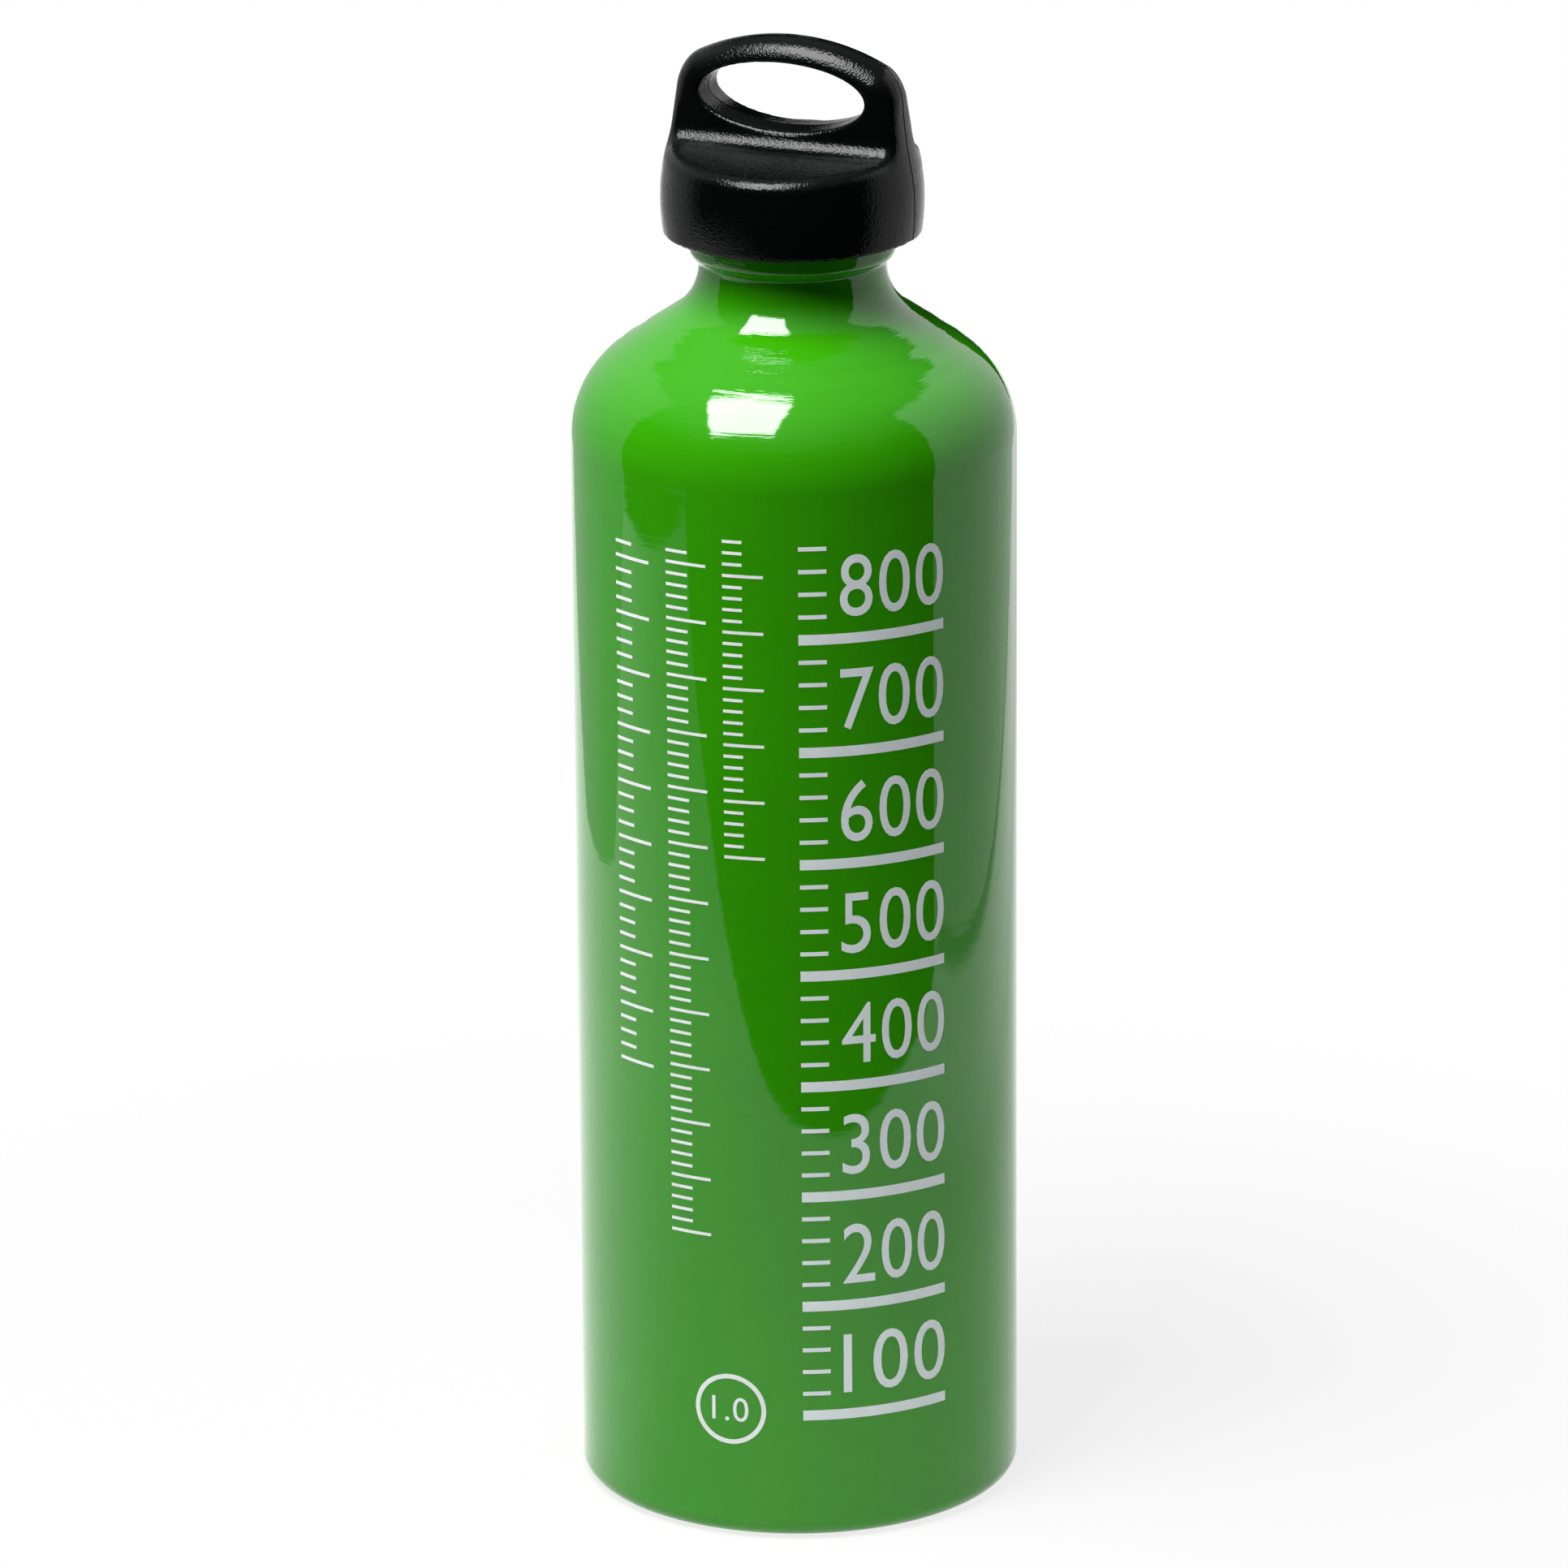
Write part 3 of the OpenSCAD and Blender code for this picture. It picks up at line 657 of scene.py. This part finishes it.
def surfaceNet(distance, lowest, highest, cell):
    # Meshes the zero surface of a distance: one point in each crossed cell, then drawn onto the surface
    counts = np.ceil((np.array(highest) - lowest) / cell).astype(int) + 1
    axes = [lowest[i] + cell * np.arange(counts[i]) for i in range(3)]
    grid = np.stack(np.meshgrid(*axes, indexing="ij"), -1)
    inside = distance(grid[..., 0], grid[..., 1], grid[..., 2])
    sign = inside < 0
    cells = tuple(c - 1 for c in counts)
    corners = [(i, j, k) for i in (0, 1) for j in (0, 1) for k in (0, 1)]
    pick = lambda a, o: a[o[0]:o[0] + cells[0], o[1]:o[1] + cells[1], o[2]:o[2] + cells[2]]
    total = sum(pick(sign, o).astype(int) for o in corners)
    crossed = (total > 0) & (total < 8)
    index = -np.ones(cells, int)
    index[crossed] = np.arange(crossed.sum())
    centre, weight = np.zeros((crossed.sum(), 3)), np.zeros(crossed.sum())
    for axis in range(3):
        for o in corners:
            if o[axis]:
                continue
            p = tuple(o[i] + (i == axis) for i in range(3))
            a, b = pick(inside, o)[crossed], pick(inside, p)[crossed]
            cut = (a < 0) != (b < 0)
            t = np.where(cut, a / np.where(cut, a - b, 1), 0)
            start = pick(grid[..., 0], o)[crossed], pick(grid[..., 1], o)[crossed], pick(grid[..., 2], o)[crossed]
            point = np.stack(start, -1)
            point[:, axis] += t * cell
            centre[cut] += point[cut]
            weight += cut
    verts = centre / weight[:, None]
    faces = []
    for axis in range(3):
        u, v = (axis + 1) % 3, (axis + 2) % 3
        sl = [slice(1, cells[i]) for i in range(3)]
        sl[axis] = slice(0, cells[axis])
        far = list(sl)
        far[axis] = slice(1, cells[axis] + 1)
        a, b = sign[tuple(sl)], sign[tuple(far)]
        here = np.argwhere(a != b)
        base = here.copy()
        base[:, u] += 1
        base[:, v] += 1
        quad = []
        for du, dv in ((0, 0), (1, 0), (1, 1), (0, 1)):
            q = base.copy()
            q[:, u] -= du
            q[:, v] -= dv
            quad.append(index[q[:, 0], q[:, 1], q[:, 2]])
        quad = np.stack(quad, -1)
        flip = ~a[tuple(here.T)]
        quad[flip] = quad[flip][:, ::-1]
        faces.append(quad)
    faces = np.concatenate(faces)
    step = cell * 0.02
    for _ in range(8):
        value = distance(*verts.T)
        slope = np.stack([(distance(*(verts + step * np.eye(3)[i]).T) - distance(*(verts - step * np.eye(3)[i]).T))
                          / (2 * step) for i in range(3)], -1)
        move = value[:, None] * slope / np.maximum((slope ** 2).sum(1), 0.25)[:, None]
        verts = verts - np.clip(move, -cell / 3, cell / 3)
    return verts, faces


def makeCap():
    margin = 1.1
    lowest = [-cap["radius"] - margin, -cap["radius"] - margin, cap["bottom"] - margin]
    highest = [cap["radius"] + margin, cap["radius"] + margin, cap["top"] + margin]
    verts, faces = surfaceNet(capDistance, lowest, highest, cap["cell"])
    piece = newPiece("cap_moulding", verts, faces.tolist(), (capMaterial,), 40)
    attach(piece, "cap")
    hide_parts("cap_shell")
    return piece


capMoulding = makeCap()
print("cap made:", len(capMoulding.data.polygons), "faces")

# Inside the closure: the plug with its thread and lugs, its seal and spring, and the neck's own thread
sealLow, sealHigh = (np.array(c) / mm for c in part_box("sealing_ring"))
plugLow, plugHigh = (np.array(c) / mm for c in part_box("threaded_plug"))
plug = {
    "bottom": plugLow[2], "flangeLow": sealHigh[2], "flangeTop": plugHigh[2] - 1.7, "flangeRadius": plugHigh[0],
    "core": 12.3, "hollow": 10.1, "floor": 2.2, "edge": 0.45,
    "lugs": 6, "lugIn": 12.0, "lugOut": 17.0, "lugWidth": 4.0, "lugRound": 0.5,
    "pitch": 3.0, "crest": 13.8, "sink": 0.3, "rootWidth": 1.86, "crestWidth": 0.87, "turns": 3.8,
    "firstHeight": 226.13, "ventWidth": 3.5, "fade": 0.055,
}
neckThread = {"crest": 12.8, "turns": 3.2, "firstHeight": 227.63, "sink": 0.3, "fade": 0.065}
seal = {"inner": 14.5, "outer": 17.7, "round": 0.35}
spring = {"radius": 7.4, "wire": 1.2, "turns": 5.0, "flatTurns": 0.25, "turnSteps": 40}


def makeHelixTree():
    # Sweeps a wire or a thread's ridge along a right-hand helix, with low ends where it fades out
    g = Grower("helix", Int=("Steps",), Float=("Turns", "Flat Turns", "First Height", "Rise", "Root Radius", "Height",
               "Outer Width", "Inner Width", "Wire Radius", "Fade", "Rounding", "Slot Width"), Material=("Finish",))
    add, calc, given = g.add, g.calc, g.given
    line = add("GeometryNodeMeshLine", None, Count=given["Steps"])[0]
    share = calc("DIVIDE", add("GeometryNodeInputIndex")[0], calc("SUBTRACT", given["Steps"], 1.0))
    turned = calc("MULTIPLY", share, given["Turns"])
    climb = calc("SUBTRACT", given["Turns"], calc("MULTIPLY", given["Flat Turns"], 2.0))
    risen = calc("DIVIDE", calc("SUBTRACT", turned, given["Flat Turns"]), climb)
    risen = calc("MINIMUM", calc("MAXIMUM", risen, 0.0), 1.0)
    toEnd = calc("MINIMUM", share, calc("SUBTRACT", 1.0, share))
    full = calc("ADD", 0.2, calc("MULTIPLY", calc("DIVIDE", toEnd, given["Fade"]), 0.8))
    full = calc("MINIMUM", full, 1.0)
    radius = calc("ADD", given["Root Radius"], calc("MULTIPLY", calc("MULTIPLY", given["Height"], 0.5), full))
    angle = calc("MULTIPLY", turned, 2 * math.pi)
    place = g.vector(X=calc("MULTIPLY", radius, calc("COSINE", angle)), Y=calc("MULTIPLY", radius, calc("SINE", angle)),
                     Z=calc("ADD", given["First Height"], calc("MULTIPLY", given["Rise"], risen)))
    bent = add("GeometryNodeSetPosition", None, Geometry=line, Position=place)[0]
    path = add("GeometryNodeMeshToCurve", None, Mesh=bent)[0]
    path = add("GeometryNodeSetCurveNormal", {"mode": "Z_UP"}, Curve=path)[0]
    tall = calc("ABSOLUTE", given["Height"])
    ridge = add("GeometryNodeCurvePrimitiveQuadrilateral", {"mode": "RECTANGLE"}, Width=tall, Height=1.0)[0]
    corner = add("ShaderNodeSeparateXYZ", None, i0=add("GeometryNodeInputPosition")[0])
    outer = calc("GREATER_THAN", corner["X"], 0.0)
    thick = calc("ADD", given["Inner Width"], calc("MULTIPLY", outer, calc("SUBTRACT", given["Outer Width"], given["Inner Width"])))
    ridge = add("GeometryNodeSetPosition", None, Geometry=ridge, Position=g.vector(
                X=corner["X"], Y=calc("MULTIPLY", corner["Y"], thick)))[0]
    ridge = add("GeometryNodeFilletCurve", {"mode": "POLY"}, Curve=ridge, Count=2, Radius=given["Rounding"])[0]
    wire = add("GeometryNodeCurvePrimitiveCircle", None, Resolution=12, Radius=given["Wire Radius"])[0]
    isWire = calc("GREATER_THAN", given["Wire Radius"], 0.0)
    profile = add("GeometryNodeSwitch", {"input_type": "GEOMETRY"}, Switch=isWire, i1=ridge, i2=wire)[0]
    swept = add("GeometryNodeCurveToMesh", None, Curve=path, Profile_Curve=profile, Scale=full, Fill_Caps=True)[0]
    cutter = add("GeometryNodeMeshCube", None, Size=g.vector(X=given["Slot Width"], Y=0.08, Z=0.08))[0]
    cutter = add("GeometryNodeTransform", None, Geometry=cutter, Translation=g.vector(Z=given["First Height"]))[0]
    cut = add("GeometryNodeMeshBoolean", {"operation": "DIFFERENCE", "solver": "EXACT"}, Mesh_1=swept, Mesh_2=cutter)[0]
    slotted = calc("GREATER_THAN", given["Slot Width"], 0.0)
    return g.end(add("GeometryNodeSwitch", {"input_type": "GEOMETRY"}, Switch=slotted, i1=swept, i2=cut)[0], given["Finish"])


def makeLugTree():
    # Rounded blocks standing in a ring
    g = Grower("ring_of_lugs", Int=("Lugs",), Float=("Inner Radius", "Outer Radius", "Width", "Low", "High", "Rounding"),
               Material=("Finish",))
    add, calc, given = g.add, g.calc, g.given
    angle = calc("DIVIDE", calc("MULTIPLY", add("GeometryNodeInputIndex")[0], 2 * math.pi), given["Lugs"])
    points = add("GeometryNodeMeshLine", None, Count=given["Lugs"])[0]
    middle = calc("MULTIPLY", calc("ADD", given["Inner Radius"], given["Outer Radius"]), 0.5)
    place = g.vector(X=calc("MULTIPLY", middle, calc("COSINE", angle)), Y=calc("MULTIPLY", middle, calc("SINE", angle)))
    points = add("GeometryNodeSetPosition", None, Geometry=points, Position=place)[0]
    base = add("GeometryNodeCurvePrimitiveQuadrilateral", {"mode": "RECTANGLE"}, Height=given["Width"],
               Width=calc("SUBTRACT", given["Outer Radius"], given["Inner Radius"]))[0]
    base = add("GeometryNodeFilletCurve", {"mode": "POLY"}, Curve=base, Count=4, Radius=given["Rounding"])[0]
    # Each block is swept up a post whose last step narrows it to a chamfered top
    crown = calc("MULTIPLY", given["Rounding"], 0.6)
    step = add("GeometryNodeInputIndex")[0]
    onTop = calc("GREATER_THAN", step, 1.5)
    raised = calc("MINIMUM", step, 1.0)
    tall = calc("SUBTRACT", calc("SUBTRACT", given["High"], given["Low"]), crown)
    level = calc("ADD", given["Low"], calc("ADD", calc("MULTIPLY", raised, tall), calc("MULTIPLY", onTop, crown)))
    post = add("GeometryNodeMeshLine", None, Count=3)[0]
    post = add("GeometryNodeSetPosition", None, Geometry=post, Position=g.vector(Z=level))[0]
    post = add("GeometryNodeMeshToCurve", None, Mesh=post)[0]
    block = add("GeometryNodeCurveToMesh", None, Curve=post, Profile_Curve=base, Fill_Caps=True,
                Scale=calc("SUBTRACT", 1.0, calc("MULTIPLY", onTop, 0.16)))[0]
    ring = add("GeometryNodeInstanceOnPoints", None, Points=points, Instance=block, Rotation=g.vector(Z=angle))[0]
    return g.end(ring, given["Finish"])


def ringSection(inner, outer, low, high, edge):
    # A closed ring's profile with rounded corners
    return (arc(outer - edge, low + edge, edge, -90, 0, 4) + arc(outer - edge, high - edge, edge, 0, 90, 4)
            + arc(inner + edge, high - edge, edge, 90, 180, 4) + arc(inner + edge, low + edge, edge, 180, 270, 4))


def placePiece(piece, body, slot, *nodes):
    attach(piece, body)
    if nodes:
        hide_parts(*nodes)
    return piece


def makeClosureParts():
    p, e = plug, plug["edge"]
    helix, top = makeHelixTree(), p["flangeTop"]
    profile = [(0, p["bottom"])] + arc(p["core"] - 0.8, p["bottom"] + 0.8, 0.8, -90, 0, 5)
    profile += arc(p["core"] + 0.4, p["flangeLow"] - 0.4, 0.4, 180, 90, 4)
    profile += arc(p["flangeRadius"] - e, p["flangeLow"] + e, e, -90, 0, 5)
    profile += arc(p["flangeRadius"] - e, top - e, e, 0, 90, 5) + arc(p["hollow"] + e, top - e, e, 90, 180, 5)
    floor = p["bottom"] + p["floor"]
    profile += arc(p["hollow"] - 0.6, floor + 0.6, 0.6, 0, -90, 5) + [(0, floor)]
    verts, faces = lathe(profile, 144)
    placePiece(newPiece("plug_body", verts, faces, (plugMaterial,), 40), "plug", "plug_plastic", "threaded_plug")
    placePiece(growTree("plug_thread", helix, {
        "Steps": int(p["turns"] * 64), "Turns": p["turns"], "First Height": p["firstHeight"] * mm,
        "Rise": p["turns"] * p["pitch"] * mm, "Root Radius": (p["core"] - p["sink"]) * mm,
        "Height": (p["crest"] - p["core"] + p["sink"]) * mm, "Outer Width": p["crestWidth"] * mm,
        "Inner Width": p["rootWidth"] * mm, "Fade": p["fade"], "Rounding": 0.16 * mm, "Slot Width": p["ventWidth"] * mm,
        "Finish": plugMaterial}, 45), "plug", "plug_plastic")
    placePiece(growTree("plug_lugs", makeLugTree(), {
        "Lugs": p["lugs"], "Inner Radius": p["lugIn"] * mm, "Outer Radius": p["lugOut"] * mm, "Width": p["lugWidth"] * mm,
        "Low": (top - 0.2) * mm, "High": plugHigh[2] * mm, "Rounding": p["lugRound"] * mm, "Finish": plugMaterial}, 40),
        "plug", "plug_plastic")
    t = neckThread
    bore = bottle["boreRadius"]
    placePiece(growTree("neck_thread", helix, {
        "Steps": int(t["turns"] * 64), "Turns": t["turns"], "First Height": t["firstHeight"] * mm,
        "Rise": t["turns"] * p["pitch"] * mm, "Root Radius": (bore + t["sink"]) * mm,
        "Height": (t["crest"] - bore - t["sink"]) * mm, "Outer Width": p["rootWidth"] * mm,
        "Inner Width": p["crestWidth"] * mm, "Fade": t["fade"], "Rounding": 0.16 * mm, "Finish": aluminiumMaterial}, 45),
        "bottle", "bare_aluminium")
    verts, faces = lathe(ringSection(seal["inner"], seal["outer"], sealLow[2], sealHigh[2], seal["round"]), 144)
    placePiece(newPiece("seal_ring", verts, faces, (rubberMaterial,), 40), "seal", "seal_rubber", "sealing_ring")
    springLow, springHigh = (c[2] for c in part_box("return_spring"))
    half = spring["wire"] / 2 * mm
    coil = placePiece(growTree("spring_coil", helix, {
        "Steps": int(spring["turns"] * spring["turnSteps"]) + 1, "Turns": spring["turns"],
        "Flat Turns": spring["flatTurns"], "First Height": springLow + half, "Rise": springHigh - springLow - 2 * half,
        "Root Radius": spring["radius"] * mm, "Wire Radius": half, "Fade": 0.0001, "Finish": steelMaterial}, 60),
        "plug", "spring_steel", "return_spring")
    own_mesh(coil)


makeClosureParts()
print("closure parts made")

# Studio, as the paint mirrors it: a white table in a dark room, a board on each side, a pale ceiling
# and a near softbox. Places are (right, ahead) in metres as the camera sees them.
studio = {
    "table": [(-0.58, 0.392), (-0.48, 0.350), (-0.30, 0.326), (-0.17, 0.299), (-0.06, 0.272), (0.03, 0.258),
              (0.13, 0.226), (0.21, 0.191), (0.31, 0.111), (0.36, 0.088), (0.345, -0.32), (0.345, -1.4),
              (-0.23, -1.4), (-0.289, -0.293), (-0.384, -0.103), (-0.68, -0.073)],
    # How bright the table looks to gloss: painted light brighter at the left back and towards the right, painted shade
    # far out, and a painted shadow at the right board's foot
    "tableNear": 0.98, "tableLeftBack": 1.58, "tableRight": 1.3, "tableFar": 0.36, "tableBehind": 0.9, "tableJointPaintedShadow": 0.3,
    "shadowNear": 0.09, "shadowFar": 0.28, "shadowSeen": 0.81, "tableTone": 0.84,
    "boardHeight": 1.2,                  # rise of a side board over its distance
    "leftBoard": 0.64, "leftBoardEnd": -0.14, "leftRise": 0.6,
    "rightBoard": 0.85, "rightBoardEnd": 0.24, "rightRise": 1.2,
    "darkCardFrom": 162.0, "darkCardTo": 178.0, "darkCardLow": -0.24,
    "room": 0.004, "ceiling": 0.54, "ceilingFrom": 0.36, "ceilingTo": 0.90, "ceilingRight": 0.55,
    "ceilingGiven": 0.15, "leftGiven": 1.0, "rightGiven": 0.5,     # what these give matt surfaces, of what they show
}
softbox = {"aim": (-0.328, 0.306, 0.890), "longAxis": (-0.20, 0.70, -0.29), "from": (-0.008, 0.033, 0.210),
           "distance": 0.6, "width": 0.34, "length": 0.43, "power": 7.0, "glint": 3.4}


def cameraAxes():
    az = math.radians(view["azimuth"])
    return Vector((math.cos(az), math.sin(az), 0)), Vector((math.sin(az), -math.cos(az), 0)), Vector((0, 0, 1))


def fromCamera(place):
    return sum((axis * part for axis, part in zip(cameraAxes(), place)), Vector((0, 0, 0)))


def makeTable():
    corners = [fromCamera((*c, -0.0001)) for c in studio["table"]]    # just under the standing ring
    table = newPiece("table", corners, [tuple(range(len(corners)))], scale=1.0)
    n = Nodes("table_board")
    n.surface(Base_Color=(*[studio["tableTone"]] * 3, 1), Roughness=0.9)
    n.shader.inputs["Specular IOR Level"].default_value = 0.0
    path = n.add("LightPath").outputs
    place = n.add("TexCoord").outputs["Object"]
    away = n.add("VectorMath", {"operation": "LENGTH"}, i0=place).outputs["Value"]
    fade = n.add("MapRange", {"interpolation_type": "SMOOTHSTEP"}, Value=away, i1=studio["shadowNear"],
                 i2=studio["shadowFar"], i3=studio["shadowSeen"], i4=1.0).outputs[0]
    white = n.add("Emission", None, Color=(1, 1, 1, 1), Strength=1.0)
    seen = n.add("MixShader", None, i0=fade, i1=n.shader.outputs[0], i2=white.outputs[0])
    right, ahead = (n.add("VectorMath", {"operation": "DOT_PRODUCT"}, i0=place, i1=tuple(axis)).outputs["Value"]
                    for axis in cameraAxes()[:2])

    def ease(value, low, high, start, end):
        return n.add("MapRange", {"interpolation_type": "SMOOTHSTEP"}, Value=value, i1=low, i2=high, i3=start,
                     i4=end).outputs[0]

    # Painted light for what gloss sees of the table: brighter at the back on the left and towards the right where the
    # lamps fall, painted shade dimmer far out, and a painted shadow where the right board stands on it
    leftBack = n.math("DIVIDE", n.math("MULTIPLY", n.math("ADD", right, ahead), -1.0), away)
    level = n.add("MapRange", None, Value=leftBack, i1=0.1, i2=1.35, i3=studio["tableNear"],
                  i4=studio["tableLeftBack"]).outputs[0]
    farLevel = n.add("MapRange", None, Value=leftBack, i1=0.2, i2=1.0, i3=studio["tableFar"],
                     i4=studio["tableBehind"]).outputs[0]
    level = n.math("MULTIPLY", level, ease(away, 0.28, 0.62, 1.0, farLevel))
    level = n.math("MAXIMUM", level, ease(right, 0.05, 0.28, 0.0, studio["tableRight"]))
    level = n.math("MULTIPLY", level, ease(right, 0.325, 0.345, 1.0, studio["tableJointPaintedShadow"]))
    # Emission seen only by glossy rays: the table's lighting painted in, not lit by the lamps
    paintedGlossLight = n.add("Emission", None, Color=(1, 1, 1, 1), Strength=level)
    cameraMix = n.add("MixShader", None, i0=path["Is Camera Ray"], i1=n.shader.outputs[0], i2=seen.outputs[0])
    glossMix = n.add("MixShader", None, i0=path["Is Glossy Ray"], i1=cameraMix.outputs[0], i2=paintedGlossLight.outputs[0])
    n.tree.links.new(glossMix.outputs[0], n.tree.nodes["Material Output"].inputs["Surface"])
    table.data.materials.append(n.material)
    return table


def makeWorld():
    world = bpy.data.worlds.new("studio")
    bpy.context.scene.world = world
    world.use_nodes = True
    n = Nodes.__new__(Nodes)
    n.tree = world.node_tree
    path = n.add("LightPath").outputs
    aim = n.add("TexCoord").outputs["Generated"]
    right, ahead, up = (n.add("VectorMath", {"operation": "DOT_PRODUCT"}, i0=aim, i1=tuple(axis)).outputs["Value"]
                        for axis in cameraAxes())
    side = n.math("ABSOLUTE", right)
    lowEnough = n.math("LESS_THAN", up, n.math("MULTIPLY", side, studio["boardHeight"]))

    def board(onSide, end, level, rise):
        behind = n.math("LESS_THAN", ahead, n.math("MULTIPLY", side, end))
        lit = n.add("MapRange", None, Value=up, i1=0.0, i2=1.0, i3=level, i4=level * (1 + rise)).outputs[0]
        return n.math("MULTIPLY", n.math("MULTIPLY", n.math("MULTIPLY", onSide, behind), lowEnough), lit)

    rightBoard = board(n.math("GREATER_THAN", right, 0.0), *(studio[k] for k in ("rightBoardEnd", "rightBoard", "rightRise")))
    leftBoard = board(n.math("LESS_THAN", right, 0.0), *(studio[k] for k in ("leftBoardEnd", "leftBoard", "leftRise")))
    turn = n.math("MULTIPLY", n.math("ARCTAN2", right, ahead), 180 / math.pi)
    card = n.math("MULTIPLY", n.math("GREATER_THAN", turn, studio["darkCardFrom"]),
                  n.math("LESS_THAN", turn, studio["darkCardTo"]))
    card = n.math("MULTIPLY", card, n.math("GREATER_THAN", up, studio["darkCardLow"]))
    ceiling = n.add("MapRange", {"interpolation_type": "SMOOTHSTEP"}, Value=up, i1=studio["ceilingFrom"],
                    i2=studio["ceilingTo"], i3=studio["room"], i4=studio["ceiling"]).outputs[0]

    def given(value, share):
        return n.math("MULTIPLY", value, n.add("MapRange", None, Value=path["Is Diffuse Ray"], i3=1.0, i4=share).outputs[0])

    boards = n.math("ADD", given(rightBoard, studio["rightGiven"]), given(leftBoard, studio["leftGiven"]))
    boards = n.math("MULTIPLY", boards, n.math("SUBTRACT", 1.0, card))
    dimmer = n.add("MapRange", None, Value=right, i1=-0.1, i2=0.4, i3=1.0, i4=studio["ceilingRight"]).outputs[0]
    ceiling = given(n.math("MULTIPLY", ceiling, dimmer), studio["ceilingGiven"])
    room = n.math("MAXIMUM", boards, ceiling)
    plain = n.math("MAXIMUM", path["Is Camera Ray"], path["Is Transmission Ray"])
    strength = n.add("Mix", None, i0=plain, i2=room, i3=1.0).outputs[0]
    background = n.tree.nodes["Background"]
    n.tree.links.new(strength, background.inputs["Strength"])
    background.inputs["Color"].default_value = (1, 1, 1, 1)


def makeSoftbox(name, power, distance, forMatt=True):
    data = bpy.data.lights.new(name, "AREA")
    data.shape = "RECTANGLE"
    data.size, data.size_y, data.energy = softbox["width"], softbox["length"], power
    lamp = bpy.data.objects.new(name, data)
    lamp.visible_diffuse = forMatt
    bpy.context.collection.objects.link(lamp)
    back = fromCamera(softbox["aim"]).normalized()
    along = fromCamera(softbox["longAxis"])
    along = (along - back * along.dot(back)).normalized()
    turn = Matrix((along.cross(back), along, back)).transposed().to_4x4()
    place = fromCamera(softbox["from"]) + back * distance
    lamp.matrix_world = Matrix.Translation(place) @ turn


makeTable()
makeWorld()
makeSoftbox("key_softbox", softbox["power"], softbox["distance"])
# The same softbox again for gloss alone, a little nearer because two lamps in one place hide each other
makeSoftbox("key_glint", softbox["glint"], softbox["distance"] - 0.002, forMatt=False)
print("studio lit")

scene = bpy.context.scene
scene.view_settings.view_transform = "Standard"
